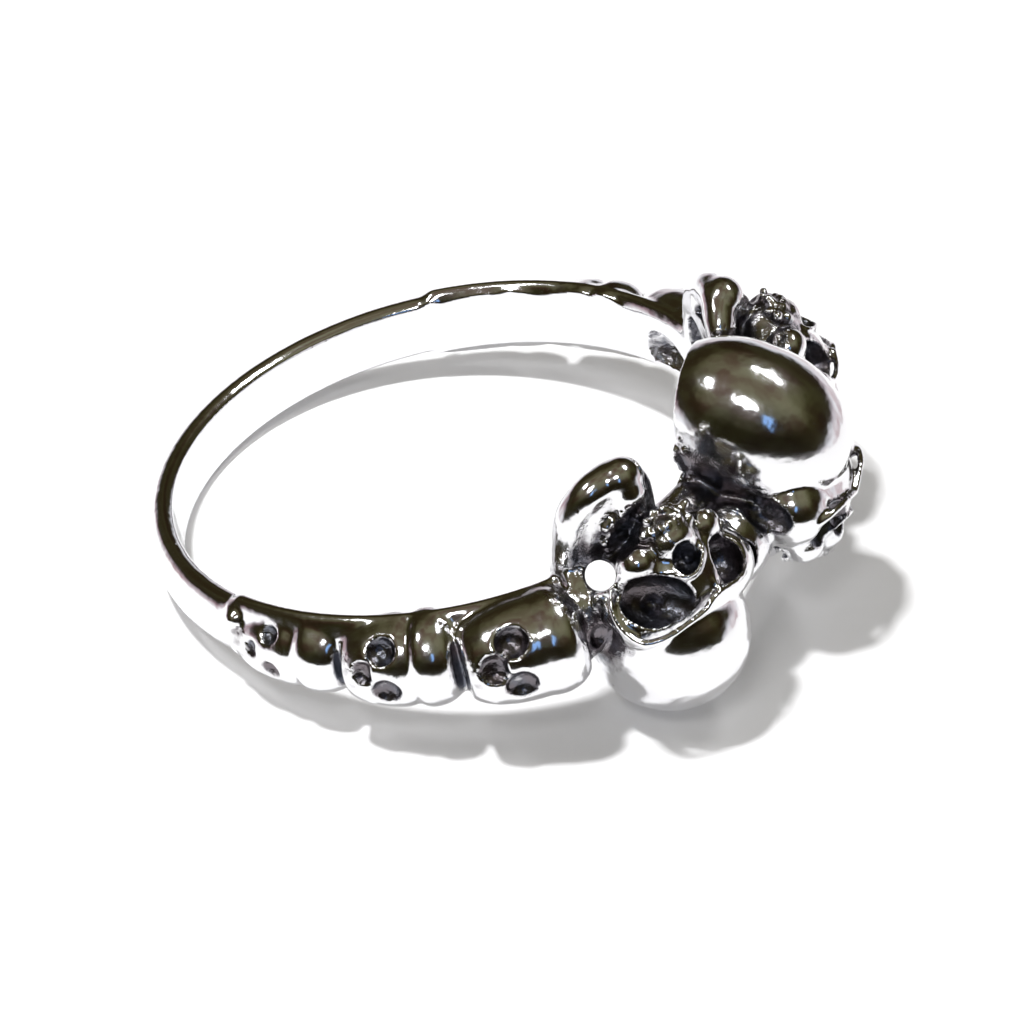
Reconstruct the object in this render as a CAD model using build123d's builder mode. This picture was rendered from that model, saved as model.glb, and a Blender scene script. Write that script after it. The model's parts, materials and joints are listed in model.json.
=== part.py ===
from build123d import *
from collections import namedtuple
from math import cos, radians, sin
import os

# A cast silver ring. The band is half-round at the back. Each shoulder carries three small
# skulls that grow towards the front, where three big skulls lie side by side: the middle one
# has its crown up, and the outer two have their crowns down.
# The ring is first made round its own finger axis: +Z along the finger, +X to the front.
# At the end it is laid on its side, as it comes to rest on a table.

# Driving dimensions, in millimetres and degrees
finger_radius = 8.9
finger_clearance = 14.0

shank_width = 2.1
shank_thickness = 0.95
band_edge = 0.35

collar_width = 2.3
collar_thickness = 1.15
collar_angle = 1.5

shoulder_width = 3.2
shoulder_height = 2.84
shoulder_drop = 0.36
shoulder_band_width = 2.3
shoulder_band_height = 0.8
shoulder_band_drop = -0.1

# The lower finger edge of the shoulders is cut back at 45 degrees from this depth
bevel_drop = 1.0
bevel_reach = 1.6

front_band_width = 3.2
front_band_height = 1.5
front_band_angle = 49.0

# Small skulls, from the front to the shank. Angles are measured from the front of the ring.
# Width, height and drop are shares of the shoulder's own.
SmallSkull = namedtuple("SmallSkull", "front_angle back_angle width height drop")
small_skulls = [
    SmallSkull(front_angle=47.0, back_angle=68.2, width=1.00, height=1.00, drop=1.00),
    SmallSkull(front_angle=68.2, back_angle=89.8, width=0.93, height=0.75, drop=0.90),
    SmallSkull(front_angle=89.8, back_angle=113.5, width=0.80, height=0.56, drop=0.86),
]

# Outline of a small skull, turned about its long axis, from the jaw to the crown.
# Along is a share of its length, and out a share of its half width.
TurnedPoint = namedtuple("TurnedPoint", "along out")
jaw_end = TurnedPoint(along=0.02, out=0.62)
face_middle = TurnedPoint(along=0.28, out=0.93)
face_end = TurnedPoint(along=0.56, out=1.00)
groove_start = TurnedPoint(along=0.59, out=0.88)
groove_end = TurnedPoint(along=0.66, out=0.88)
crown_edge = TurnedPoint(along=0.68, out=1.03)
crown_middle = TurnedPoint(along=0.83, out=1.06)
crown_end = TurnedPoint(along=1.00, out=0.72)

# The small faces look outwards and up. Turns are about the long axis.
small_face_turn = 18.0
small_eye_along = 0.40
small_eye_turn = 27.0
small_eye_size = 0.28
small_nose_along = 0.20
small_nose_size = 0.17

# Where a big skull sits on the ring, and how far its face is lifted
BigSkull = namedtuple("BigSkull", "angle radius height face_angle face_lift")
middle_skull = BigSkull(angle=0.0, radius=10.67, height=2.12, face_angle=0.0, face_lift=-30.0)
outer_skull = BigSkull(angle=31.0, radius=10.14, height=-1.85, face_angle=33.8, face_lift=33.5)

# The big skull in its own frame: X from ear to ear, Y out of the face, Z out of the crown
cranium_half_depth = 3.0
cranium_radius = 2.5

mask_half_width = 2.3
mask_radius = 1.78
mask_forward = 1.95
mask_drop = 1.5

muzzle_half_depth = 1.3
muzzle_radius = 1.0
muzzle_forward = 2.75
muzzle_drop = 2.62

eye_side = 1.33
eye_forward = 3.12
eye_drop = 1.22
eye_radius = 0.9
eye_turn = 24.0
brow_thickness = 0.2

nose_forward = 3.75
nose_drop = 1.8
nose_radius = 0.42

cheekbone_side = 1.5
cheekbone_forward = 2.85
cheekbone_drop = 2.2
cheekbone_radius = 0.5

temple_side = 2.35
temple_forward = 1.95
temple_drop = 1.15
temple_radius = 0.5

# The jaw of an outer skull swings towards the shank. The middle skull's is straight and short.
outer_jaw_shift = 0.85
middle_jaw_share = 0.62
jaw_hinge_side = 1.35
jaw_chin_side = 1.2
jaw_hinge_forward = 0.0
jaw_hinge_drop = 2.6
jaw_reach = 3.6
jaw_lean = 49.0
jaw_thickness = 1.15
jaw_bend_radius = 1.0
chin_radius = 0.6
chin_forward = 0.4

throat_radius = 1.4
throat_forward = 0.8
throat_drop = 3.0

gap_side = 1.8
gap_forward = 1.5
gap_drop = 2.6
gap_radius = 0.46
gap_turn = 25.0
gap_lean = 5.0

# Hollows in the finger side of the front: one behind each gap, one behind each third small skull
Hollow = namedtuple("Hollow", "angle height tilt half_width radius")
gap_hollow = Hollow(angle=40.0, height=1.1, tilt=0.0, half_width=0.82, radius=1.15)
back_hollow = Hollow(angle=55.0, height=-0.55, tilt=30.0, half_width=1.27, radius=1.04)

# The middle of a hollow lies this far inside the finger bore
hollow_inset = 0.2

settling_steps = 6


def on_ring(angle, radius, height=0.0):
    """A point at an angle from the front, a radius from the finger axis and a height."""
    return Vector(radius * cos(radians(angle)), radius * sin(radians(angle)), height)


def oval(axis, half_length, radius):
    """A ball drawn out along one axis, X or Y."""
    with BuildPart() as made:
        with BuildSketch(Plane(origin=(0, 0, 0), x_dir=axis, z_dir=(0, 0, 1))):
            with BuildLine():
                EllipticalCenterArc((0, 0), half_length, radius, start_angle=0, arc_size=180)
                Line((-half_length, 0), (half_length, 0))
            make_face()
        revolve(axis=Axis((0, 0, 0), axis))
    return made.part


def band(width, thickness, start_angle, end_angle, drop=0.0):
    """A band of oval section round part of the finger, between two angles from the front."""
    section = Plane(origin=(0, 0, 0), x_dir=on_ring(start_angle, 1), z_dir=on_ring(start_angle - 90, 1))
    with BuildPart() as made:
        with BuildSketch(section):
            with Locations((finger_radius + band_edge, -drop)):
                Ellipse(thickness - band_edge, width / 2)
        revolve(axis=Axis.Z, revolution_arc=end_angle - start_angle)
    return made.part


def bevel(start_angle, end_angle):
    """The wedge cut off the lower finger edge, between two angles from the front."""
    section = Plane(origin=(0, 0, 0), x_dir=on_ring(start_angle, 1), z_dir=on_ring(start_angle - 90, 1))
    low = -bevel_drop - bevel_reach
    with BuildPart() as made:
        with BuildSketch(section):
            with BuildLine():
                Polyline(
                    (finger_radius, -bevel_drop),
                    (finger_radius + bevel_reach, low),
                    (finger_radius, low),
                    close=True,
                )
            make_face()
        revolve(axis=Axis.Z, revolution_arc=end_angle - start_angle)
    return made.part


def small_skull(row):
    """One shoulder skull: a turned body with a headband groove, two eyes and a nose."""
    half_width = row.width * shoulder_width / 2
    axis_radius = finger_radius + row.height * shoulder_height - half_width * crown_middle.out
    middle = (row.front_angle + row.back_angle) / 2
    length = 2 * axis_radius * sin(radians(row.back_angle - row.front_angle) / 2)
    start = on_ring(row.back_angle, axis_radius, -row.drop * shoulder_drop)
    forward = on_ring(middle - 90, 1)
    outward = on_ring(middle, 1)
    profile = Plane(origin=start, x_dir=forward, z_dir=forward.cross(outward))

    def at(point):
        return (point.along * length, point.out * half_width)

    def on_face(along, turn):
        """A plane on the face, turned about the long axis from the middle of the face."""
        normal = outward.rotate(Axis((0, 0, 0), forward), small_face_turn + turn)
        rise = (along / face_end.along) ** 0.5
        reach = half_width * (jaw_end.out + (face_end.out - jaw_end.out) * rise)
        return Plane(origin=start + forward * (along * length) + normal * reach, z_dir=normal)

    with BuildPart() as made:
        with BuildSketch(profile):
            with BuildLine():
                Line((jaw_end.along * length, 0), at(jaw_end))
                ThreePointArc(at(jaw_end), at(face_middle), at(face_end))
                Polyline(at(face_end), at(groove_start), at(groove_end), at(crown_edge))
                ThreePointArc(at(crown_edge), at(crown_middle), at(crown_end))
                Polyline(at(crown_end), (crown_end.along * length, 0), (jaw_end.along * length, 0))
            make_face()
        revolve(axis=Axis(start, forward))
        with Locations(on_face(small_eye_along, small_eye_turn), on_face(small_eye_along, -small_eye_turn)):
            Sphere(small_eye_size * half_width, mode=Mode.SUBTRACT)
        with Locations(on_face(small_nose_along, 0)):
            Sphere(small_nose_size * half_width, mode=Mode.SUBTRACT)
    return made.part


def eye_plane(side):
    """The plane of one eye's rim, on the left (-1) or the right (1) of the face."""
    turn = radians(eye_turn) * side
    return Plane(origin=(side * eye_side, eye_forward, -eye_drop), z_dir=(sin(turn), cos(turn), 0))


def gap_plane():
    """The plane across the gap between cheek and jaw, on the side of the shank."""
    turn = radians(gap_turn)
    lean = radians(gap_lean)
    normal = (sin(turn) * cos(lean), cos(turn) * cos(lean), -sin(lean))
    return Plane(origin=(gap_side, gap_forward, -gap_drop), z_dir=normal)


def both_sides(side, forward, drop):
    """The same point on the left and the right of the big skull's face."""
    return [(-side, forward, -drop), (side, forward, -drop)]


def big_skull(jaw_shift, jaw_share):
    """A big skull, with its jaw moved to one side and given a share of its full reach."""
    jaw_down = Vector(0, sin(radians(jaw_lean)), -cos(radians(jaw_lean)))
    jaw_side = Vector(1, 0, 0)
    hinge_middle = (jaw_shift, jaw_hinge_forward, -jaw_hinge_drop)
    jaw_plane = Plane(origin=hinge_middle, x_dir=jaw_side, z_dir=jaw_side.cross(jaw_down))
    reach = jaw_share * jaw_reach
    with BuildPart() as jaw:
        with BuildLine(jaw_plane) as bow:
            FilletPolyline(
                (-jaw_hinge_side, 0),
                (-jaw_chin_side, reach),
                (jaw_chin_side, reach),
                (jaw_hinge_side, 0),
                radius=jaw_bend_radius,
            )
        with BuildSketch(Plane(origin=bow.wires()[0] @ 0, z_dir=bow.wires()[0] % 0)):
            Circle(jaw_thickness / 2)
        sweep(path=bow.wires()[0])
    with BuildPart() as made:
        add(oval((0, 1, 0), cranium_half_depth, cranium_radius))
        with Locations((0, mask_forward, -mask_drop)):
            add(oval((1, 0, 0), mask_half_width, mask_radius))
        with Locations((0, muzzle_forward, -muzzle_drop)):
            add(oval((0, 1, 0), muzzle_half_depth, muzzle_radius))
        with Locations((jaw_shift, throat_forward, -throat_drop)):
            Sphere(throat_radius)
        add(jaw.part)
        with Locations(jaw_plane.offset(chin_forward)):
            with Locations((-jaw_shift / 2, reach)):
                Sphere(chin_radius)
        with Locations(both_sides(cheekbone_side, cheekbone_forward, cheekbone_drop)):
            Sphere(cheekbone_radius)
        with Locations(eye_plane(-1), eye_plane(1)):
            Torus(eye_radius, brow_thickness)
        with Locations(eye_plane(-1), eye_plane(1)):
            Sphere(eye_radius, mode=Mode.SUBTRACT)
        with Locations((0, nose_forward, -nose_drop)):
            Sphere(nose_radius, mode=Mode.SUBTRACT)
        with Locations(both_sides(temple_side, temple_forward, temple_drop)):
            Sphere(temple_radius, mode=Mode.SUBTRACT)
    return made.part


def skull_plane(place, up):
    """The plane of a big skull on the ring, with its crown up (1) or down (-1)."""
    lift = radians(place.face_lift)
    face = on_ring(place.face_angle, cos(lift), sin(lift))
    crown = on_ring(place.face_angle, -up * sin(lift), up * cos(lift))
    origin = on_ring(place.angle, place.radius, place.height)
    return Plane(origin=origin, x_dir=face.cross(crown), z_dir=crown)


def hollow_plane(hollow):
    """The plane of a hollow on the finger side, with X outwards and Z along the finger."""
    origin = on_ring(hollow.angle, finger_radius - hollow_inset, hollow.height)
    return Plane(origin=origin, x_dir=on_ring(hollow.angle, 1), z_dir=(0, 0, 1)).rotated((hollow.tilt, 0, 0))


middle_plane = skull_plane(middle_skull, 1)
outer_plane = skull_plane(outer_skull, -1)
shank_start = small_skulls[-1].back_angle

# One side of the ring, at +Y. Its big skull has the shank on the side of its own +X.
with BuildPart() as side:
    for row in small_skulls:
        add(small_skull(row))
    shoulder_start = small_skulls[0].front_angle
    add(band(shoulder_band_width, shoulder_band_height, shoulder_start, shank_start, shoulder_band_drop))
    add(bevel(shoulder_start - collar_angle, shank_start), mode=Mode.SUBTRACT)
    add(band(collar_width, collar_thickness, shank_start - collar_angle, shank_start + collar_angle))
    with Locations(outer_plane):
        add(big_skull(outer_jaw_shift, 1.0))
    with Locations(outer_plane):
        with Locations(gap_plane()):
            Cylinder(gap_radius, 2 * cranium_half_depth, mode=Mode.SUBTRACT)
    Cylinder(finger_radius, finger_clearance, mode=Mode.SUBTRACT)

with BuildPart() as hollows:
    for hollow in (gap_hollow, back_hollow):
        with Locations(hollow_plane(hollow)):
            add(oval((0, 1, 0), hollow.half_width, hollow.radius))

with BuildPart() as casting:
    add(band(shank_width, shank_thickness, shank_start, 360 - shank_start))
    add(band(front_band_width, front_band_height, -front_band_angle, front_band_angle))
    with Locations(middle_plane):
        add(big_skull(0.0, middle_jaw_share))
    Cylinder(finger_radius, finger_clearance, mode=Mode.SUBTRACT)
    add(side.part)
    mirror(side.part, about=Plane.XZ)
    add(hollows.part, mode=Mode.SUBTRACT)
    mirror(hollows.part, about=Plane.XZ, mode=Mode.SUBTRACT)


def lowest_on_cranium(down):
    """The point of an outer skull's cranium that lies furthest down."""
    point = outer_plane.origin
    half_sizes = (cranium_radius, cranium_half_depth, cranium_radius)
    axes = (outer_plane.x_dir, outer_plane.y_dir, outer_plane.z_dir)
    spans = [size * axis.dot(down) for size, axis in zip(half_sizes, axes)]
    reach = sum(span * span for span in spans) ** 0.5
    for axis, size, span in zip(axes, half_sizes, spans):
        point = point + axis * (size * span / reach)
    return point


# The ring settles on the back rim of its shank and on the craniums of the two outer skulls
back_rim = on_ring(180, finger_radius + band_edge, -shank_width / 2)
down = Vector(0, 0, -1)
for step in range(settling_steps):
    along = lowest_on_cranium(down) - back_rim
    down = Vector(along.Z, 0, -along.X).normalized()
settled = Plane(origin=(0, 0, 0), x_dir=(-down.Z, 0, down.X), z_dir=-down).location.inverse()
box = casting.part.moved(settled).bounding_box()

# The origin is on the table, under the middle of the ring as it lies there
with BuildPart() as ring:
    with Locations(Location((-box.center().X, -box.center().Y, -box.min.Z)) * settled):
        add(casting.part)

ring.part.label = "ring"
os.makedirs("parts", exist_ok=True)
export_step(ring.part, "parts/ring.step")
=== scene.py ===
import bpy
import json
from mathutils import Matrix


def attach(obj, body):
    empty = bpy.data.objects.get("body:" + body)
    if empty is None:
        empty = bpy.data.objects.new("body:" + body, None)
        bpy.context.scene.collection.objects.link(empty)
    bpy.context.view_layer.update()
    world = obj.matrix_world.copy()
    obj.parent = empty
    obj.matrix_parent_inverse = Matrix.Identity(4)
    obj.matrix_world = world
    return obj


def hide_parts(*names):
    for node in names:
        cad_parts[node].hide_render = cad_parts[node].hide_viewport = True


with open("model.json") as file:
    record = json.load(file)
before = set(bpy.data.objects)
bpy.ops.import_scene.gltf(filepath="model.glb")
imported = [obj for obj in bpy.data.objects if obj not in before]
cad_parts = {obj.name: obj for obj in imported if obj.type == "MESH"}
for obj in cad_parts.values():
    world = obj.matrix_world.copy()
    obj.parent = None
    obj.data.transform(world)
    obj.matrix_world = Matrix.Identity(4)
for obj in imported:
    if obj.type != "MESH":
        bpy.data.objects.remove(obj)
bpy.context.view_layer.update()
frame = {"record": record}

import json
from collections import namedtuple
from math import cos, pi, radians, sin, sqrt

import bmesh
import bpy
import numpy as np
from mathutils import Matrix, Vector
from mathutils.bvhtree import BVHTree
from mathutils.kdtree import KDTree

# A cast silver ring with three big skulls at the front and three small ones along each shoulder.
# The metal is sculpted in millimetres round the finger axis: +Z along the finger, +X to the
# front. The finger bore in the record says where that axis lies in the row frame.
MM = 0.001
bore = next(mount for mount in frame["record"]["mounts"] if mount["name"] == "finger_bore")
finger_axis = Vector(bore["axis"]).normalized()
finger_middle = Vector(bore["pos_m"])
finger_radius = bore["dims"]["r_mm"]
front = Vector((finger_axis.z, 0, -finger_axis.x))
row_from_ring = Matrix.Translation(finger_middle) @ Matrix(
    [(front.x, 0, finger_axis.x), (0, 1, 0), (front.z, 0, finger_axis.z)]
).to_4x4() @ Matrix.Scale(MM, 4)
whole_ring = Matrix.Identity(4)

# Grain of the sculpting, in millimetres
rough_grain = 0.085
cut_grain = rough_grain * 0.7
fine_grain = 0.058
triangle_limit = 190000

# Each point of an even spread is turned by this angle from the last, in radians
golden_turn = 2.39996

# Band, in millimetres, and in degrees from the front
shank_start = 113.5
shank_width = 2.1
shank_thickness = 0.95
band_edge = 0.35
band_step = 1.5
shoulder_width = 3.2
shoulder_height = 2.84
shoulder_drop = 0.36
shoulder_band_width = 2.3
shoulder_band_height = 0.8
shoulder_band_rise = 0.1
shoulder_band_overlap = 2
collar_half_height = 0.74
collar_half_width = 1.12
collar_half_angle = 1.2
front_band_width = 3.0
front_band_height = 1.5
front_band_angle = 47.0
bevel_start = 45.5
bevel_drop = 1.0
bevel_reach = 1.6
bevel_inset = 1.0
bore_length = 14.0

# Lumps that fill a shoulder: the bead at its collar, and the bridges before and behind its skull
Filler = namedtuple("Filler", "angle rise height half_sizes")
shoulder_fillers = [
    Filler(angle=shank_start - 0.6, rise=0.75, height=0.60, half_sizes=(0.34, 0.34, 0.34)),
    Filler(angle=15, rise=1.6, height=-0.35, half_sizes=(1.3, 1.5, 1.35)),
    Filler(angle=47, rise=0.9, height=-0.2, half_sizes=(1.0, 1.0, 1.3)),
]

# Hollows in the finger side behind an outer skull
Hollow = namedtuple("Hollow", "angle height turn half_sizes")
finger_hollows = [
    Hollow(angle=40, height=1.1, turn=0, half_sizes=(1.15, 0.8, 1.1)),
    Hollow(angle=55, height=-0.55, turn=30, half_sizes=(1.05, 1.25, 0.85)),
]
hollow_inset = 0.2

# Small skulls, from the front to the shank. Width, height and drop are shares of the shoulder's.
SmallSkull = namedtuple("SmallSkull", "front_angle back_angle width height drop eye nose groove")
small_skulls = [
    SmallSkull(
        front_angle=47.0, back_angle=68.2, width=1.00, height=1.00, drop=1.00,
        eye=0.53, nose=0.56, groove=0.2,
    ),
    SmallSkull(
        front_angle=68.2, back_angle=89.8, width=0.93, height=0.75, drop=0.90,
        eye=0.48, nose=0.40, groove=1.0,
    ),
    SmallSkull(
        front_angle=89.8, back_angle=113.5, width=0.80, height=0.56, drop=0.86,
        eye=0.33, nose=0.30, groove=1.0,
    ),
]
# Half the outline of a small skull, in shares of its length and half width, dipped at its groove
TurnedPoint = namedtuple("TurnedPoint", "along out dip", defaults=(0.0,))
small_outline = [
    TurnedPoint(along=0.01, out=0.00),
    TurnedPoint(along=0.01, out=0.66),
    TurnedPoint(along=0.08, out=0.79),
    TurnedPoint(along=0.20, out=0.91),
    TurnedPoint(along=0.36, out=0.99),
    TurnedPoint(along=0.52, out=1.02),
    TurnedPoint(along=0.60, out=1.03, dip=0.06),
    TurnedPoint(along=0.64, out=1.04, dip=0.12),
    TurnedPoint(along=0.66, out=1.04, dip=0.04),
    TurnedPoint(along=0.70, out=1.05),
    TurnedPoint(along=0.78, out=1.05),
    TurnedPoint(along=0.88, out=0.99),
    TurnedPoint(along=0.95, out=0.89),
    TurnedPoint(along=1.00, out=0.76),
    TurnedPoint(along=1.00, out=0.00),
]
small_outline_reach = 1.06
small_face_turn = 18.0
small_eye_along = 0.40
small_eye_turn = 27.0
small_eye_depth = 0.8
small_nose_along = 0.20
small_nostril_turn = 6
small_nostril_place = Vector((0.04, 0, 0))
small_nostril_shares = (0.8, 0.6, 0.7)
small_tooth_along = 0.06
small_tooth_turn = 22
small_tooth = (0.30, 0.05, 0.12)

# The eyes of a big skull: where each socket lies, its half sizes, its turn to the side and its tilt
Eye = namedtuple("Eye", "place half_sizes turn tilt")
outer_eyes = [
    Eye(place=(1.38, 3.25, -1.2), half_sizes=(1.22, 0.78, 0.80), turn=22, tilt=34),
    Eye(place=(-1.23, 3.15, -1.28), half_sizes=(0.64, 0.70, 0.78), turn=-24, tilt=0),
]
middle_eyes = [
    Eye(place=(1.2, 3.4, -1.35), half_sizes=(0.85, 0.70, 0.80), turn=10, tilt=20),
    Eye(place=(-1.2, 3.4, -1.35), half_sizes=(0.85, 0.70, 0.80), turn=-10, tilt=-20),
]

# Big skulls: where each sits on the ring, how far its face is lifted, and how its jaw hangs
BigSkull = namedtuple(
    "BigSkull", "angle radius height face_angle face_lift crown eyes arch jaw_shift jaw_share"
)
middle_skull = BigSkull(
    angle=0.0, radius=10.67, height=2.12, face_angle=0.0, face_lift=-30.0, crown=1,
    eyes=middle_eyes, arch=0.12, jaw_shift=0.0, jaw_share=0.6,
)
near_skull = BigSkull(
    angle=31.0, radius=10.14, height=-1.85, face_angle=33.8, face_lift=33.5, crown=-1,
    eyes=outer_eyes, arch=0.30, jaw_shift=0.8, jaw_share=1.0,
)
far_skull = near_skull._replace(jaw_shift=0.5, jaw_share=0.88)

# A big skull in its own frame: X from ear to ear, Y out of the face, Z out of the crown
Lump = namedtuple("Lump", "place half_sizes")
cranium = Vector((2.38, 3.00, 2.54))
nape = Lump(place=Vector((0, -0.5, 0)), half_sizes=cranium * 0.98)
mask = Lump(place=Vector((0, 1.95, -1.5)), half_sizes=Vector((2.2, 1.7, 1.75)))
orbit = Lump(place=Vector((1.42, 2.1, -1.15)), half_sizes=Vector((1.2, 1.15, 1.15)))
muzzle = Lump(place=Vector((0, 2.75, -2.62)), half_sizes=Vector((0.95, 1.15, 1.0)))
throat = Lump(place=Vector((0, 0.95, -3.1)), half_sizes=Vector((1.5, 0.9, 1.6)))
palate = Lump(place=Vector((0, 1.60, -3.45)), half_sizes=Vector((1.25, 0.40, 1.9)))
palate_lean = 49.0
cheek = Lump(place=Vector((1.2, 2.85, -2.45)), half_sizes=Vector((0.66, 0.66, 0.60)))
chin_lumps = [
    Lump(place=Vector((0, 0.15, 0.12)), half_sizes=(0.76, 0.66, 0.68)),
    Lump(place=Vector((0, 0.1, 0.55)), half_sizes=(0.6, 0.6, 0.6)),
]
chin_shift = 0.45
jaw_tip_shift = 0.75

# What is cut out of a big skull. The deep hole lies in each eye, the nostrils beside the nose.
deep_hole = Lump(place=Vector((0.1, -0.45, 0.1)), half_sizes=(0.40, 0.55, 0.34))
nose = Lump(place=Vector((0.05, 3.75, -1.92)), half_sizes=Vector((0.46, 0.50, 0.50)))
nostril = Lump(place=Vector((0.22, -0.4, 0.0)), half_sizes=(0.17, 0.35, 0.22))
temple = Lump(place=Vector((2.6, 1.5, -0.9)), half_sizes=(0.40, 0.80, 0.5))
cheek_hollow = Lump(place=Vector((1.5, 3.0, -3.2)), half_sizes=(0.42, 0.5, 0.36))
mouth_out = 3.92
mouth_curve = 0.75
mouth_height = -2.86
mouth_radius = 0.10

# Teeth, and the cuts between them
tooth_pitch = 0.25
tooth_out = 3.72
tooth_curve = 0.7
tooth_height = -3.05
tooth_half_sizes = (0.11, 0.14, 0.20)
ToothCut = namedtuple("ToothCut", "out height radius")
tooth_cut = [
    ToothCut(out=-0.08, height=-2.35, radius=0.05),
    ToothCut(out=0.02, height=-2.75, radius=0.08),
    ToothCut(out=-0.30, height=-3.30, radius=0.07),
]

# Scratches along the side of the jaw
scratch_steps = (0.25, 0.55, 0.85)
scratch_side = 1.98
scratch_lean = 0.5
scratch_pitch = 0.24
scratch_way = Vector((0, 0.66, 0.75))
scratch_radius = 0.07

# Lines over a big skull, as places and how thick the line is there
arch_line = [
    (Vector((1.7, 2.7, -2.3)), 1.0),
    (Vector((2.2, 1.9, -2.1)), 0.85),
    (Vector((2.25, 1.0, -1.8)), 0.9),
]
jaw_line = [
    (Vector((1.40, -0.1, -2.4)), 0.50),
    (Vector((1.42, 0.9, -3.6)), 0.56),
    (Vector((1.15, 2.0, -4.55)), 0.56),
    (Vector((0.55, 2.62, -4.95)), 0.58),
    (Vector((0.0, 2.75, -5.0)), 0.62),
]
jaw_hinge = jaw_line[0][0]
brow_line = [
    (Vector((2.20, 2.65, -2.25)), 0.08),
    (Vector((2.52, 2.60, -1.70)), 0.10),
    (Vector((2.56, 2.65, -1.05)), 0.13),
    (Vector((2.32, 2.88, -0.40)), 0.15),
    (Vector((1.78, 3.15, -0.20)), 0.13),
    (Vector((1.09, 3.38, -0.22)), 0.11),
    (Vector((0.31, 3.55, -0.32)), 0.12),
    (Vector((-0.05, 3.62, -0.50)), 0.13),
    (Vector((-0.50, 3.54, -0.55)), 0.12),
    (Vector((-1.21, 3.34, -0.55)), 0.11),
    (Vector((-1.70, 3.05, -0.68)), 0.11),
    (Vector((-1.97, 2.75, -0.90)), 0.10),
    (Vector((-2.05, 2.45, -1.40)), 0.08),
]
middle_brow_line = [
    (Vector((2.15, 2.55, -1.9)), 0.09),
    (Vector((2.20, 2.75, -1.2)), 0.12),
    (Vector((1.85, 3.10, -0.62)), 0.13),
    (Vector((1.20, 3.35, -0.45)), 0.12),
    (Vector((0.50, 3.50, -0.55)), 0.11),
    (Vector((0.0, 3.60, -0.70)), 0.11),
]
nose_line = [
    (Vector((-0.58, 3.52, -2.26)), 0.08),
    (Vector((-0.52, 3.66, -1.87)), 0.09),
    (Vector((-0.02, 3.78, -1.48)), 0.08),
    (Vector((0.43, 3.68, -1.47)), 0.08),
    (Vector((0.62, 3.52, -1.85)), 0.07),
]
bridge_line = [
    (Vector((-1.00, 3.25, -2.2)), 0.06),
    (Vector((-0.62, 3.45, -1.5)), 0.07),
    (Vector((-0.48, 3.50, -1.15)), 0.07),
    (Vector((-0.42, 3.55, -0.66)), 0.08),
]
tongue_loop = [
    (Vector((1.10, 2.15, -4.45)), 0.06),
    (Vector((1.35, 2.05, -4.62)), 0.06),
    (Vector((1.60, 2.00, -4.30)), 0.07),
    (Vector((1.40, 2.10, -4.02)), 0.06),
    (Vector((1.10, 2.15, -4.45)), 0.06),
]

# Patches of small grains: beside the nape of the middle skull, in the mouth and on the muzzle
GrainPatch = namedtuple("GrainPatch", "middle half_sizes count radius")
nape_grains = [
    GrainPatch(
        middle=Vector((1.9, -1.15, -0.55)), half_sizes=Vector((0.25, 0.75, 0.55)), count=44, radius=0.12
    ),
    GrainPatch(
        middle=Vector((1.75, -0.6, -1.6)), half_sizes=Vector((0.30, 0.9, 0.6)), count=30, radius=0.20
    ),
]
mouth_place = Vector((0, 1.85, -3.6))
mouth_grains = GrainPatch(
    middle=Vector((0.0, 0.36, -0.15)), half_sizes=Vector((0.75, 0.05, 0.95)), count=40, radius=0.13
)
muzzle_grains = GrainPatch(
    middle=Vector((0, 3.35, -3.15)), half_sizes=Vector((0.9, 0.15, 0.5)), count=26, radius=0.14
)
grain_spread = 0.3
grain_depth_turn = 1.7
grain_size_turn = 2.1

# Patches left dark: on a big skull or on the ring, as a middle and a radius
DarkPatch = namedtuple("DarkPatch", "place radius")
skull_patches = [
    DarkPatch(place=Vector((1.15, 1.65, -3.6)), radius=1.4),
    DarkPatch(place=Vector((0.0, 3.3, -3.1)), radius=0.85),
]
middle_patches = [
    DarkPatch(place=Vector((1.85, -1.35, -0.75)), radius=0.85),
    DarkPatch(place=Vector((1.95, -0.45, -1.5)), radius=1.0),
    DarkPatch(place=Vector((1.9, 0.6, -1.9)), radius=0.85),
]
ring_patches = [
    DarkPatch(place=Vector((9.3, 2.5, 0.3)), radius=1.35),
    DarkPatch(place=Vector((9.6, 1.9, 1.3)), radius=0.9),
    DarkPatch(place=Vector((7.1, 6.4, -0.1)), radius=1.0),
]
patch_gain = 1.6
socket_reach = 0.14
socket_fade = 0.5

# How the recesses are found on the finished skin
recess_passes = 12
recess_keep = 0.4
shelter_rays = 16
shelter_reach = 2.2
shelter_clearance = 0.03

# The gap between cheek and jaw
gap_place = Vector((1.8, 1.5, -2.6))
gap_turn = 25.0
gap_lean = 5.0
gap_radius = 0.48
gap_steps = (-3.0, -1.5, 0.0, 1.5)

# The silver: its colours, how rough it is where it is polished and how much rougher its oxide is
bright_silver = (0.87, 0.87, 0.89)
blue_oxide = (0.060, 0.070, 0.100)
red_oxide = (0.110, 0.085, 0.095)
polished_roughness = 0.13
oxide_roughness = 0.14
oxide_start = 0.20
oxide_full = 0.52
oxide_cover = 0.90
blotch_scale = 700.0
dent_scale = 1700.0
grit_scale = 3600.0

# The room from below the floor to the ceiling: white low down, dark walls, a paler ceiling
room_stops = [
    (0.50, (0.92, 0.92, 0.94)),
    (0.54, (0.70, 0.70, 0.74)),
    (0.61, (0.028, 0.024, 0.011)),
    (0.82, (0.044, 0.041, 0.015)),
    (0.90, (0.105, 0.10, 0.052)),
    (1.00, (0.19, 0.185, 0.115)),
]
room_white = (1.0, 1.0, 1.0)
room_dusk = (0.50, 0.32, 0.34)
backdrop = (0.95, 0.95, 0.96)
floor_radius = 0.045
lamp_distance = 0.35

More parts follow.
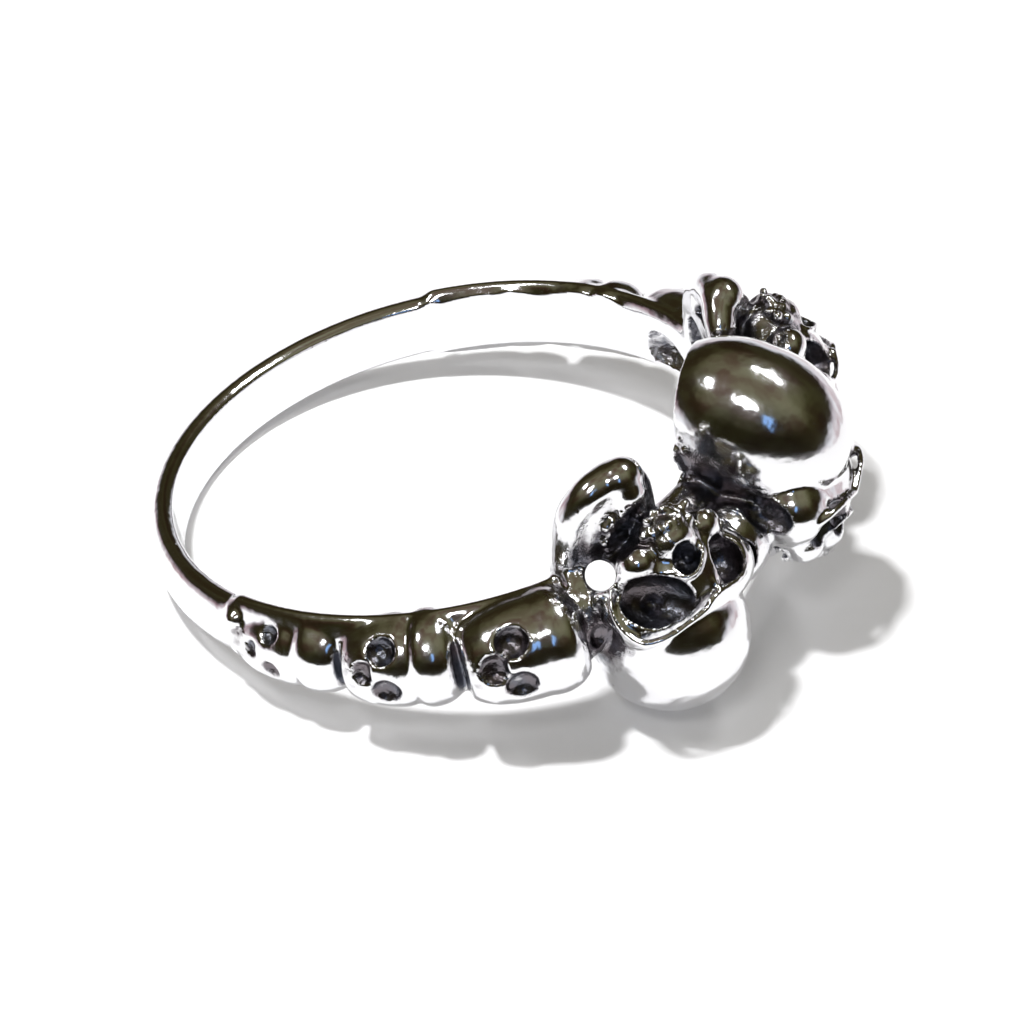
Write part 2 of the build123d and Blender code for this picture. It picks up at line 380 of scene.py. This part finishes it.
# The camera, measured from the middle of the finger hole, in millimetres and degrees
camera_azimuth = -70.6
camera_elevation = 38.26
camera_roll = -0.65
camera_distance = 120.0
camera_across = 1.97
camera_rise = -1.34
camera_lens = 132.03
camera_sensor = 36.0


def on_ring(angle, radius, height=0.0):
    """A point at an angle from the front, a radius from the finger axis and a height."""
    return Vector((radius * cos(radians(angle)), radius * sin(radians(angle)), height))


def on_side(place, side):
    """A place in a skull's frame, on its left or its right."""
    return Vector((side * place.x, place.y, place.z))


def axes(x, y, z, origin):
    """The matrix of a frame with these axes and this origin."""
    turned = Matrix((x, y, z)).transposed().to_4x4()
    turned.translation = origin
    return turned


def section_frame(angle):
    """The plane across the band at an angle: X away from the finger axis, Y along the finger."""
    return axes(on_ring(angle, 1), Vector((0, 0, 1)), on_ring(angle - 90, 1), Vector((0, 0, 0)))


def skull_frame(skull):
    """The matrix of a big skull's own frame on the ring."""
    lift = radians(skull.face_lift)
    face = on_ring(skull.face_angle, cos(lift), sin(lift))
    crown = on_ring(skull.face_angle, -skull.crown * sin(lift), skull.crown * cos(lift))
    return axes(face.cross(crown), face, crown, on_ring(skull.angle, skull.radius, skull.height))


def mesh_of(clay, name):
    """The mesh of a lump of clay, which is used up."""
    mesh = bpy.data.meshes.new(name)
    clay.to_mesh(mesh)
    clay.free()
    return mesh


def pressed_on(clay, shape):
    """Puts a shape of its own, made apart, on a lump of clay."""
    mesh = mesh_of(shape, "shape")
    clay.from_mesh(mesh)
    bpy.data.meshes.remove(mesh)


def spun(shape, outline, angle, steps, middle=(0, 0, 0), axis=(0, 0, 1), closed=False):
    """Turns an outline round an axis, which is the finger's unless another is given."""
    bmesh.ops.spin(
        shape, geom=outline, cent=middle, axis=axis, dvec=(0, 0, 0), angle=angle, steps=steps,
        use_merge=closed, use_normal_flip=False, use_duplicate=False,
    )


def lump(clay, frame_of, place, half_sizes):
    """Adds an egg-shaped lump with its three half sizes, in a frame of its own."""
    egg = bmesh.new()
    shape = frame_of @ Matrix.Translation(place) @ Matrix.Diagonal((*half_sizes, 1))
    bmesh.ops.create_uvsphere(egg, u_segments=48, v_segments=24, radius=1.0, matrix=shape)
    pressed_on(clay, egg)


def smooth_line(points, steps):
    """Points along a smooth curve through a few places, each with its radius."""
    last = len(points) - 1
    line = []
    for step in range(steps + 1):
        at = step / steps * last
        i = min(int(at), last - 1)
        t = at - i
        before, start, end, after = (points[min(max(k, 0), last)] for k in (i - 1, i, i + 1, i + 2))
        place = 0.5 * (
            2 * start[0]
            + (end[0] - before[0]) * t
            + (2 * before[0] - 5 * start[0] + 4 * end[0] - after[0]) * t**2
            + (3 * start[0] - before[0] - 3 * end[0] + after[0]) * t**3
        )
        line.append((place, start[1] + (end[1] - start[1]) * t))
    return line


def strand(clay, frame_of, points, steps=28):
    """Adds a rounded bar along a smooth curve through a few places."""
    bar = bmesh.new()
    for place, radius in smooth_line(points, steps):
        ball = frame_of @ Matrix.Translation(place)
        bmesh.ops.create_icosphere(bar, subdivisions=2, radius=radius, matrix=ball)
    pressed_on(clay, bar)


def band_part(clay, half_height, half_width, height, start_angle, end_angle):
    """Adds a band of oval section round part of the finger."""
    place = Matrix.Translation((finger_radius + band_edge, height, 0))
    section = section_frame(start_angle) @ (place @ Matrix.Diagonal((half_height, half_width, 1, 1)))
    band = bmesh.new()
    bmesh.ops.create_circle(band, cap_ends=True, segments=48, radius=1.0, matrix=section)
    outline = band.verts[:] + band.edges[:] + band.faces[:]
    steps = int(abs(end_angle - start_angle) / band_step) + 2
    spun(band, outline, radians(end_angle - start_angle), steps)
    pressed_on(clay, band)


def small_skull_frame(row):
    """(frame, length, half width) of a small skull: X along it to the front, Z outwards."""
    half_width = row.width * shoulder_width / 2
    axis_radius = finger_radius + row.height * shoulder_height - half_width * small_outline_reach
    middle = (row.front_angle + row.back_angle) / 2
    length = 2 * axis_radius * sin(radians(row.back_angle - row.front_angle) / 2)
    start = on_ring(row.back_angle, axis_radius, -row.drop * shoulder_drop)
    forward = on_ring(middle - 90, 1)
    outward = on_ring(middle, 1)
    turned = axes(forward, outward.cross(forward), outward, start)
    return turned @ Matrix.Rotation(radians(small_face_turn), 4, "X"), length, half_width


def small_skull_body(clay, row):
    """The turned body of a small skull, from its jaw to its crown."""
    turned, length, half_width = small_skull_frame(row)
    body = bmesh.new()
    verts = []
    for point in small_outline:
        out = (point.out - point.dip * row.groove) * half_width
        verts.append(body.verts.new(turned @ Vector((point.along * length, 0, out))))
    edges = [body.edges.new(pair) for pair in zip(verts, verts[1:])]
    axis = turned.to_3x3() @ Vector((1, 0, 0))
    spun(body, verts + edges, 2 * pi, steps=64, middle=turned.translation, axis=axis, closed=True)
    bmesh.ops.remove_doubles(body, verts=body.verts[:], dist=0.0001)
    pressed_on(clay, body)


def small_skull_place(row, along, turn):
    """A frame on a small skull's face, with Z outwards, at a share of its length."""
    turned, length, half_width = small_skull_frame(row)
    side = small_outline[1:-1]
    out = np.interp(along, [point.along for point in side], [point.out for point in side])
    surface = Matrix.Translation((along * length, 0, out * half_width))
    return turned @ Matrix.Rotation(radians(turn), 4, "X") @ surface


def small_skull_cuts(clay, row):
    """The eye sockets, nostrils and mouth of a small skull."""
    for side in (-1, 1):
        socket = small_skull_place(row, small_eye_along, side * small_eye_turn)
        lump(clay, socket, Vector((0, 0, 0)), (row.eye, row.eye, small_eye_depth * row.eye))
    for side in (-1, 1):
        hole = small_skull_place(row, small_nose_along, side * small_nostril_turn)
        lump(clay, hole, small_nostril_place, [row.nose * share for share in small_nostril_shares])
    for side in (-1, 0, 1):
        tooth = small_skull_place(row, small_tooth_along, side * small_tooth_turn)
        lump(clay, tooth, Vector((0, 0, 0)), small_tooth)


def reached(skull, place):
    """A place on the jaw, as far from the hinge as this skull's jaw is long."""
    return jaw_hinge + (place - jaw_hinge) * skull.jaw_share


def jaw(clay, turned, skull):
    """The mandible: a bar from one hinge round the chin to the other."""
    for side in (-1, 1):
        points = []
        for place, radius in jaw_line:
            point = reached(skull, place)
            point.x = side * place.x + skull.jaw_shift * (1 if place.x else jaw_tip_shift)
            points.append((point, radius))
        strand(clay, turned, points, steps=40)
    chin = reached(skull, jaw_line[-1][0])
    chin.x = skull.jaw_shift * chin_shift
    for part in chin_lumps:
        lump(clay, turned, chin + part.place, part.half_sizes)


def big_skull_body(clay, skull):
    """The masses of a big skull."""
    turned = skull_frame(skull)
    lump(clay, turned, Vector((0, 0, 0)), cranium)
    if skull is middle_skull:
        lump(clay, turned, *nape)
    lump(clay, turned, *mask)
    lump(clay, turned, *muzzle)
    lump(clay, turned, throat.place + Vector((skull.jaw_shift, 0, 0)), throat.half_sizes)
    middle = reached(skull, palate.place)
    middle.x = skull.jaw_shift
    plate = turned @ Matrix.Translation(middle) @ Matrix.Rotation(radians(palate_lean), 4, "X")
    wide, thick, long = palate.half_sizes
    lump(clay, plate, Vector((0, 0, 0)), (wide, thick, long * skull.jaw_share))
    for side in (-1, 1):
        for part in (orbit, cheek):
            lump(clay, turned, on_side(part.place, side), part.half_sizes)
        arch = [(on_side(place, side), skull.arch * share) for place, share in arch_line]
        strand(clay, turned, arch)
    jaw(clay, turned, skull)


def big_skull_cuts(clay, skull):
    """The eye sockets, nose, temples, cheek hollows, cuts between the teeth, mouth and scratches."""
    turned = skull_frame(skull)
    for eye in skull.eyes:
        socket = (
            turned @ Matrix.Translation(eye.place) @ Matrix.Rotation(-radians(eye.turn), 4, "Z")
            @ Matrix.Rotation(radians(eye.tilt), 4, "Y")
        )
        lump(clay, socket, Vector((0, 0, 0)), eye.half_sizes)
        lump(clay, socket, *deep_hole)
    lump(clay, turned, *nose)
    for side in (-1, 1):
        lump(clay, turned, nose.place + on_side(nostril.place, side), nostril.half_sizes)
        for part in (temple, cheek_hollow):
            lump(clay, turned, on_side(part.place, side), part.half_sizes)
    for tooth in range(-3, 4):
        across = tooth_pitch * tooth
        bulge = sqrt(1 - (across / muzzle.half_sizes.x) ** 2)
        depth = muzzle.place.y + muzzle.half_sizes.y * bulge
        line = [(Vector((across, depth + point.out, point.height)), point.radius) for point in tooth_cut]
        strand(clay, turned, line, steps=14)
    mouth = []
    for across in (-1.0, -0.5, 0.0, 0.5, 1.0):
        place = Vector((across, mouth_out - mouth_curve * across * across, mouth_height))
        mouth.append((place, mouth_radius))
    strand(clay, turned, mouth, steps=30)
    for line in range(-2, 3):
        scratch = []
        for step in scratch_steps:
            place = jaw_hinge + (jaw_line[3][0] - jaw_hinge) * step * skull.jaw_share
            place.x = skull.jaw_shift - scratch_side + scratch_lean * step
            place += scratch_way * (scratch_pitch * line)
            scratch.append((place, scratch_radius))
        strand(clay, turned, scratch, steps=24)


def gap_cut(clay, skull):
    """The gap between cheek and jaw, pierced through on the side of the shank."""
    turn = radians(gap_turn)
    lean = radians(gap_lean)
    out = Vector((sin(turn) * cos(lean), cos(turn) * cos(lean), -sin(lean)))
    points = [(gap_place + out * step, gap_radius) for step in gap_steps]
    strand(clay, skull_frame(skull), points, steps=40)


def big_skull_ridges(clay, skull):
    """The thin ridges laid over a big skull: its brows, nose, bridge, grains and teeth."""
    turned = skull_frame(skull)
    if skull.eyes is outer_eyes:
        strand(clay, turned, brow_line, steps=110)
        strand(clay, turned, bridge_line, steps=36)
        shift = Vector((skull.jaw_shift - near_skull.jaw_shift, 0, 0))
        strand(clay, turned, [(place + shift, radius) for place, radius in tongue_loop], steps=40)
    else:
        for side in (-1, 1):
            half = turned @ Matrix.Diagonal((side, 1, 1, 1))
            strand(clay, half, middle_brow_line, steps=60)
            for patch in nape_grains:
                grains(clay, half, patch)
    strand(clay, turned, nose_line, steps=40)
    middle = Vector((skull.jaw_shift, mouth_place.y, mouth_place.z))
    plate = turned @ Matrix.Translation(middle) @ Matrix.Rotation(radians(palate_lean), 4, "X")
    grains(clay, plate, mouth_grains)
    if skull.eyes is outer_eyes:
        grains(clay, turned, muzzle_grains)
    for tooth in range(-3, 3):
        across = tooth_pitch * tooth + tooth_pitch / 2
        depth = tooth_out - tooth_curve * across * across
        lump(clay, turned, Vector((across, depth, tooth_height)), tooth_half_sizes)


def grains(clay, frame_of, patch):
    """Small round grains strewn evenly over a patch, some larger and some deeper than others."""
    for i in range(patch.count):
        reach = sqrt((i + 0.5) / patch.count)
        turn = i * golden_turn
        across = reach * cos(turn) * patch.half_sizes.x
        depth = patch.half_sizes.y * cos(i * grain_depth_turn)
        height = reach * sin(turn) * patch.half_sizes.z
        radius = patch.radius * (1 + grain_spread * sin(i * grain_size_turn))
        lump(clay, frame_of, patch.middle + Vector((across, depth, height)), (radius, radius, radius))


def new_piece(name, mesh):
    """A mesh object of that name in the scene."""
    made = bpy.data.objects.new(name, mesh)
    bpy.context.scene.collection.objects.link(made)
    return made


def finished(piece):
    """The mesh of a piece with its modifiers applied; the piece itself is taken away."""
    graph = bpy.context.evaluated_depsgraph_get()
    mesh = bpy.data.meshes.new_from_object(piece.evaluated_get(graph))
    bpy.data.objects.remove(piece)
    return mesh


def fused(clay, name, grain, smoothing):
    """One closed skin round everything in a lump of clay."""
    piece = new_piece(name, mesh_of(clay, name))
    skin = piece.modifiers.new("skin", "REMESH")
    skin.mode = "VOXEL"
    skin.voxel_size = grain
    soft = piece.modifiers.new("soft", "SMOOTH")
    soft.factor = 0.5
    soft.iterations = smoothing
    return finished(piece)


def carved(mesh, tool, name):
    """The mesh with a tool's mesh cut out of it."""
    piece = new_piece(name, mesh)
    cutter = new_piece(name + "_tool", tool)
    cut = piece.modifiers.new("cut", "BOOLEAN")
    cut.operation = "DIFFERENCE"
    cut.solver = "MANIFOLD"
    cut.object = cutter
    made = finished(piece)
    bpy.data.objects.remove(cutter)
    return made


def both_shoulders(make_side):
    """What make_side makes for each outer skull, the near one's mirrored to the camera's side."""
    clay = bmesh.new()
    make_side(clay, near_skull)
    bmesh.ops.scale(clay, vec=(1, -1, 1), verts=clay.verts[:])
    bmesh.ops.reverse_faces(clay, faces=clay.faces[:])
    make_side(clay, far_skull)
    return clay


def shoulder_masses(clay, skull):
    """The masses of one side of the ring, at +Y."""
    for row in small_skulls:
        small_skull_body(clay, row)
    start = small_skulls[0].front_angle - shoulder_band_overlap
    half_height = shoulder_band_height - band_edge
    band_part(clay, half_height, shoulder_band_width / 2, shoulder_band_rise, start, shank_start)
    collar = (shank_start - collar_half_angle, shank_start + collar_half_angle)
    band_part(clay, collar_half_height, collar_half_width, 0, *collar)
    for filler in shoulder_fillers:
        place = on_ring(filler.angle, finger_radius + filler.rise, filler.height)
        lump(clay, whole_ring, place, filler.half_sizes)
    big_skull_body(clay, skull)


def ring_clay():
    """The masses of the whole ring."""
    clay = both_shoulders(shoulder_masses)
    band_part(clay, shank_thickness - band_edge, shank_width / 2, 0, shank_start, 360 - shank_start)
    front_height = front_band_height - band_edge
    band_part(clay, front_height, front_band_width / 2, 0, -front_band_angle, front_band_angle)
    big_skull_body(clay, middle_skull)
    return clay


def bevel_cut(clay):
    """The wedge cut off the lower finger edge of a shoulder."""
    section = section_frame(bevel_start)
    low = -bevel_drop - bevel_reach
    inner = finger_radius - bevel_inset
    corners = [(inner, bevel_inset - bevel_drop), (finger_radius + bevel_reach, low), (inner, low)]
    wedge = bmesh.new()
    verts = [wedge.verts.new(section @ Vector((radius, height, 0))) for radius, height in corners]
    face = wedge.faces.new(verts)
    spun(wedge, verts + face.edges[:] + [face], radians(shank_start - bevel_start), steps=60)
    pressed_on(clay, wedge)


def socket_cuts(clay, skull):
    """The sockets and lines of the skulls on one side of the ring, at +Y."""
    for row in small_skulls:
        small_skull_cuts(clay, row)
    big_skull_cuts(clay, skull)


def shoulder_cuts(clay, skull):
    """Everything that is cut out of one side of the ring, at +Y."""
    socket_cuts(clay, skull)
    bevel_cut(clay)
    gap_cut(clay, skull)
    for hollow in finger_hollows:
        middle = on_ring(hollow.angle, finger_radius - hollow_inset, hollow.height)
        outward = on_ring(hollow.angle, 1)
        turned = axes(outward, on_ring(hollow.angle + 90, 1), Vector((0, 0, 1)), middle)
        turned = turned @ Matrix.Rotation(radians(hollow.turn), 4, "X")
        lump(clay, turned, Vector((0, 0, 0)), hollow.half_sizes)


def ring_cuts():
    """Everything that is cut out of the masses."""
    clay = both_shoulders(shoulder_cuts)
    big_skull_cuts(clay, middle_skull)
    return clay


def ring_ridges(mesh):
    """The carved masses with the thin ridges laid over them."""
    clay = both_shoulders(big_skull_ridges)
    big_skull_ridges(clay, middle_skull)
    clay.from_mesh(mesh)
    return clay


def bore_tool():
    """The finger bore as a tool to cut with."""
    clay = bmesh.new()
    bmesh.ops.create_cone(
        clay, cap_ends=True, segments=2880, radius1=finger_radius, radius2=finger_radius, depth=bore_length
    )
    return mesh_of(clay, "bore_tool")


def recess_depth(mesh):
    """How far each point lies below the smoothed surface round it, in millimetres."""
    count = len(mesh.vertices)
    places = np.empty(count * 3)
    mesh.vertices.foreach_get("co", places)
    places = places.reshape(-1, 3)
    normals = np.empty(count * 3)
    mesh.vertex_normals.foreach_get("vector", normals)
    normals = normals.reshape(-1, 3)
    ends = np.empty(len(mesh.edges) * 2, dtype=np.int64)
    mesh.edges.foreach_get("vertices", ends)
    one, other = ends.reshape(-1, 2).T
    neighbours = np.bincount(one, minlength=count) + np.bincount(other, minlength=count)
    smooth = places.copy()
    for _ in range(recess_passes):
        for axis in range(3):
            column = smooth[:, axis]
            total = np.bincount(one, column[other], count) + np.bincount(other, column[one], count)
            smooth[:, axis] = recess_keep * column + (1 - recess_keep) * total / neighbours
    return ((smooth - places) * normals).sum(axis=1)


def dark_patches():
    """(middle, radius) of each patch that is left dark, on both sides of the ring."""
    patches = []
    for skull, side in ((near_skull, -1), (far_skull, 1)):
        across = Matrix.Diagonal((1, side, 1, 1))
        outer = across @ skull_frame(skull)
        middle = skull_frame(middle_skull) @ Matrix.Diagonal((-side, 1, 1, 1))
        for frame_of, rows in ((outer, skull_patches), (across, ring_patches), (middle, middle_patches)):
            patches += [(frame_of @ patch.place, patch.radius) for patch in rows]
    return patches


def darkness(mesh):
    """How dark each point is left: 1 in the sockets and in the middle of the patches."""
    clay = both_shoulders(socket_cuts)
    big_skull_cuts(clay, middle_skull)
    sockets = BVHTree.FromBMesh(clay)
    clay.free()
    patches = dark_patches()
    values = []
    for vert in mesh.vertices:
        near = sockets.find_nearest(vert.co, socket_reach)[3]
        value = 0.0 if near is None else 1.0 - socket_fade * near / socket_reach
        for middle, radius in patches:
            value = max(value, patch_gain * (1.0 - (vert.co - middle).length / radius))
        values.append(min(value, 1.0))
    return values


def shelter(mesh):
    """The share of the view from each point that the ring itself closes off nearby."""
    places = [vert.co for vert in mesh.vertices]
    tree = BVHTree.FromPolygons(places, [face.vertices[:] for face in mesh.polygons])
    ways = []
    for i in range(shelter_rays):
        out = (i + 0.5) / shelter_rays
        turn = i * golden_turn
        ways.append(Vector((sqrt(out) * cos(turn), sqrt(out) * sin(turn), sqrt(1 - out))))
    shares = []
    for vert in mesh.vertices:
        turned = vert.normal.to_track_quat("Z", "Y")
        start = vert.co + vert.normal * shelter_clearance
        blocked = sum(tree.ray_cast(start, turned @ way, shelter_reach)[0] is not None for way in ways)
        shares.append(blocked / shelter_rays)
    return shares


def thinned(mesh):
    """The mesh with no more triangles than the limit."""
    piece = new_piece("thinned", mesh)
    thin = piece.modifiers.new("thin", "DECIMATE")
    thin.ratio = min(1.0, triangle_limit / (2 * len(mesh.polygons)))
    thin.use_collapse_triangulate = True
    return finished(piece)


def sculpted_ring():
    """The ring's metal as one closed skin, with its recesses kept on its points."""
    masses = fused(ring_clay(), "masses", rough_grain, smoothing=4)
    cuts = fused(ring_cuts(), "cuts", cut_grain, smoothing=2)
    carved_masses = carved(masses, cuts, "carved")
    skin = fused(ring_ridges(carved_masses), "skin", fine_grain, smoothing=3)
    bored = bmesh.new()
    bored.from_mesh(carved(skin, bore_tool(), "metal"))
    full = fused(bored, "ring_skin", fine_grain, smoothing=2)
    fine = recess_depth(full)
    tree = KDTree(len(full.vertices))
    for index, vert in enumerate(full.vertices):
        tree.insert(vert.co, index)
    tree.balance()
    mesh = thinned(full)
    nearest = [tree.find(vert.co)[1] for vert in mesh.vertices]
    values_of = {"fine_recess": fine[nearest], "shelter": shelter(mesh), "dark": darkness(mesh)}
    for name, values in values_of.items():
        layer = mesh.attributes.new(name, "FLOAT", "POINT")
        layer.data.foreach_set("value", values)
    mesh.transform(row_from_ring)
    for polygon in mesh.polygons:
        polygon.use_smooth = True
    mesh.name = "silver_ring"
    return mesh


class Value:
    """A number on a socket, so that shader maths can be written as an expression."""

    def __init__(self, paint, socket):
        self.paint = paint
        self.socket = socket

    def __add__(self, other):
        return self.paint.maths("ADD", self, other)

    def __radd__(self, other):
        return self.paint.maths("ADD", other, self)

    def __sub__(self, other):
        return self.paint.maths("SUBTRACT", self, other)

    def __rsub__(self, other):
        return self.paint.maths("SUBTRACT", other, self)

    def __mul__(self, other):
        return self.paint.maths("MULTIPLY", self, other)

    def __rmul__(self, other):
        return self.paint.maths("MULTIPLY", other, self)

    def between(self, low, high):
        """0 below low, 1 above high and smooth in between."""
        return self.paint.node(
            "ShaderNodeMapRange", {"interpolation_type": "SMOOTHSTEP"},
            {"Value": self, "From Min": low, "From Max": high, "To Min": 0.0, "To Max": 1.0},
        )


class Paint:
    """A node tree that nodes are added to."""

    def __init__(self, tree):
        self.tree = tree
        tree.nodes.clear()

    def node(self, kind, settings=None, inputs=None, output=0):
        """Adds a node and gives one of its outputs. Settings come first, then values or links."""
        made = self.tree.nodes.new(kind)
        for name, value in (settings or {}).items():
            if name == "stops":
                while len(made.color_ramp.elements) < len(value):
                    made.color_ramp.elements.new(0.5)
                for element, (position, color) in zip(made.color_ramp.elements, value):
                    element.position = position
                    element.color = (*color, 1)
            else:
                setattr(made, name, value)
        for name, value in (inputs or {}).items():
            self.feed(made.inputs[name], value)
        return Value(self, made.outputs[output]) if made.outputs else None

    def feed(self, socket, value):
        """Links a value to a socket, or sets a plain number or colour on it."""
        if isinstance(value, Value):
            self.tree.links.new(value.socket, socket)
        else:
            socket.default_value = value

    def measure(self, name):
        """A number that was kept on the points of the mesh."""
        return self.node("ShaderNodeAttribute", {"attribute_name": name}, output=2)

    def noise(self, place, scale, detail):
        """Soft noise over places or directions."""
        return self.node("ShaderNodeTexNoise", {}, {"Vector": place, "Scale": scale, "Detail": detail})

    def maths(self, operation, *values):
        """A Math node on numbers and values."""
        return self.node("ShaderNodeMath", {"operation": operation}, dict(enumerate(values)))

    def mixed(self, share, first, second, blend="MIX"):
        """A colour between two colours, or their product where blend says so."""
        made = self.tree.nodes.new("ShaderNodeMix")
        made.data_type = "RGBA"
        made.blend_type = blend
        sockets = {socket.identifier: socket for socket in made.inputs}
        self.feed(sockets["Factor_Float"], share)
        for name, color in (("A_Color", first), ("B_Color", second)):
            self.feed(sockets[name], color if isinstance(color, Value) else (*color, 1))
        return Value(self, next(socket for socket in made.outputs if socket.identifier == "Result_Color"))


def silver():
    """Polished silver, oxidised in its recesses."""
    material = bpy.data.materials.new("polished_silver")
    material.use_nodes = True
    paint = Paint(material.node_tree)
    place = paint.node("ShaderNodeTexCoord", output=3)
    blotch = paint.noise(place, blotch_scale, 3.0)
    grit = paint.noise(place, grit_scale, 3.0)
    dent = paint.noise(place, dent_scale, 1.0)
    recess = paint.measure("shelter") + paint.measure("dark") * 0.30 + paint.measure("fine_recess") * 3.0
    oxide = (recess + (blotch - 0.5) * 0.5 + (grit - 0.5) * 0.35).between(oxide_start, oxide_full)
    tint = paint.mixed(blotch.between(0.35, 0.65), blue_oxide, red_oxide)
    tone = paint.mixed(oxide * oxide_cover, bright_silver, tint)
    rough = polished_roughness + oxide * oxide_roughness
    relief = grit * (0.05 + oxide * 0.8) + dent * 0.25 + blotch * 0.9
    bump = paint.node("ShaderNodeBump", {}, {"Height": relief, "Strength": 0.5, "Distance": 0.0001})
    shader = paint.node(
        "ShaderNodeBsdfPrincipled", {},
        {"Base Color": tone, "Metallic": 1.0, "Roughness": rough, "Normal": bump},
    )
    paint.node("ShaderNodeOutputMaterial", {}, {"Surface": shader})
    return material


def floor_paint():
    """The pale floor, which also glows a little."""
    material = bpy.data.materials.new("white_floor")
    material.use_nodes = True
    paint = Paint(material.node_tree)
    shader = paint.node(
        "ShaderNodeBsdfPrincipled", {},
        {
            "Base Color": (0.80, 0.80, 0.81, 1), "Roughness": 0.6, "Specular IOR Level": 0.0,
            "Emission Color": (1.0, 1.0, 1.0, 1), "Emission Strength": 0.12,
        },
    )
    paint.node("ShaderNodeOutputMaterial", {}, {"Surface": shader})
    return material


def floor():
    """A round sheet of white paper under the ring."""
    clay = bmesh.new()
    bmesh.ops.create_circle(clay, cap_ends=True, segments=96, radius=floor_radius)
    made = new_piece("floor", mesh_of(clay, "floor"))
    made.data.materials.append(floor_paint())


def room():
    """The room round the ring, duller on the side that the camera looks from."""
    world = bpy.data.worlds.new("room")
    bpy.context.scene.world = world
    world.use_nodes = True
    paint = Paint(world.node_tree)
    direction = paint.node("ShaderNodeTexCoord", output=0)
    along, beside, rise = (
        paint.node("ShaderNodeSeparateXYZ", {}, {"Vector": direction}, output=part) for part in range(3)
    )
    toward = along * cos(radians(camera_azimuth)) + beside * sin(radians(camera_azimuth))
    patch = paint.noise(direction, 2.2, 2.0)
    level = rise + toward.between(-0.1, 0.7) * 0.36 + (patch - 0.5) * 0.10
    shade = paint.node("ShaderNodeValToRGB", {"stops": room_stops}, {"Fac": level * 0.5 + 0.5})
    dusk = paint.mixed(patch.between(0.35, 0.70), room_white, room_dusk)
    walls = paint.mixed(1.0, shade, dusk, blend="MULTIPLY")
    seen = paint.node("ShaderNodeLightPath", output=0)
    dim = 1.0 - toward.between(0.25, 0.95) * 0.6
    background = paint.node(
        "ShaderNodeBackground", {}, {"Color": paint.mixed(seen, walls, backdrop), "Strength": dim}
    )
    paint.node("ShaderNodeOutputWorld", {}, {"Surface": background})


def direction_of(azimuth, elevation):
    """The direction at an azimuth and an elevation."""
    around = radians(azimuth)
    up = radians(elevation)
    return Vector((cos(around) * cos(up), sin(around) * cos(up), sin(up)))


def lamp(name, azimuth, elevation, width, height, power, color=(1, 1, 1), mirrored=True):
    """A soft lamp that looks at the ring from one direction, and is mirrored in the silver or not."""
    light = bpy.data.lights.new(name, "AREA")
    light.shape = "ELLIPSE"
    light.size = width
    light.size_y = height
    light.energy = power
    light.color = color
    made = bpy.data.objects.new(name, light)
    made.visible_glossy = mirrored
    out = direction_of(azimuth, elevation)
    made.location = finger_middle + out * lamp_distance
    made.rotation_euler = out.to_track_quat("Z", "Y").to_euler()
    bpy.context.scene.collection.objects.link(made)


def camera():
    """The camera at the photograph's viewing angle."""
    lens = bpy.data.cameras.new("camera")
    lens.sensor_width = camera_sensor
    lens.lens = camera_lens
    lens.clip_start = 0.001
    made = bpy.data.objects.new("camera", lens)
    back = direction_of(camera_azimuth, camera_elevation)
    turn = back.to_track_quat("Z", "Y").to_matrix() @ Matrix.Rotation(radians(camera_roll), 3, "Z")
    place = turn @ Vector((camera_across, camera_rise, camera_distance)) * MM
    made.matrix_world = Matrix.Translation(finger_middle + place) @ turn.to_4x4()
    bpy.context.scene.collection.objects.link(made)
    bpy.context.scene.camera = made


metal = new_piece("silver_ring", sculpted_ring())
metal.data.materials.append(silver())
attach(metal, "root")
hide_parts("ring")

floor()
room()
lamp("front_lamp", azimuth=-82, elevation=53, width=0.080, height=0.060, power=0.16)
lamp("left_lamp", azimuth=-148, elevation=58, width=0.090, height=0.050, power=0.16)
lamp("back_lamp", azimuth=50, elevation=64, width=0.130, height=0.055, power=0.20)
lamp("window", azimuth=-62, elevation=36, width=0.045, height=0.110, power=0.012, color=(0.25, 0.5, 1.0))
lamp("top_lamp", azimuth=-140, elevation=74, width=0.030, height=0.030, power=1.15, mirrored=False)
camera()
bpy.context.scene.view_settings.view_transform = "Standard"
